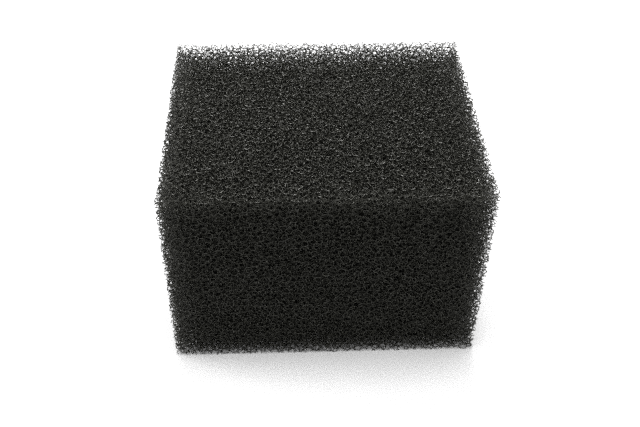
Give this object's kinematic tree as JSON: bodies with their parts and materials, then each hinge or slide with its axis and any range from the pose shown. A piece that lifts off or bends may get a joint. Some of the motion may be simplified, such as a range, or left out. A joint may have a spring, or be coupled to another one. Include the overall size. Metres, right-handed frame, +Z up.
{
  "type": "sponge filter block",
  "caption": "Rectangular block of black open-cell filter foam that strains and biologically filters aquarium or pond water flowing through it.",
  "frame": {"origin": "middle of the base, on the surface the block stands on", "axes": "+X along the block's longest side, +Y from the front face to the back face, +Z up through its shortest side"},
  "size_m": [0.12, 0.103, 0.082],
  "materials": {
    "filter_foam": "matte open-cell polyurethane foam, charcoal black"
  },
  "bodies": {
    "root": {"foam_block": "filter_foam"}
  },
  "joints": []
}
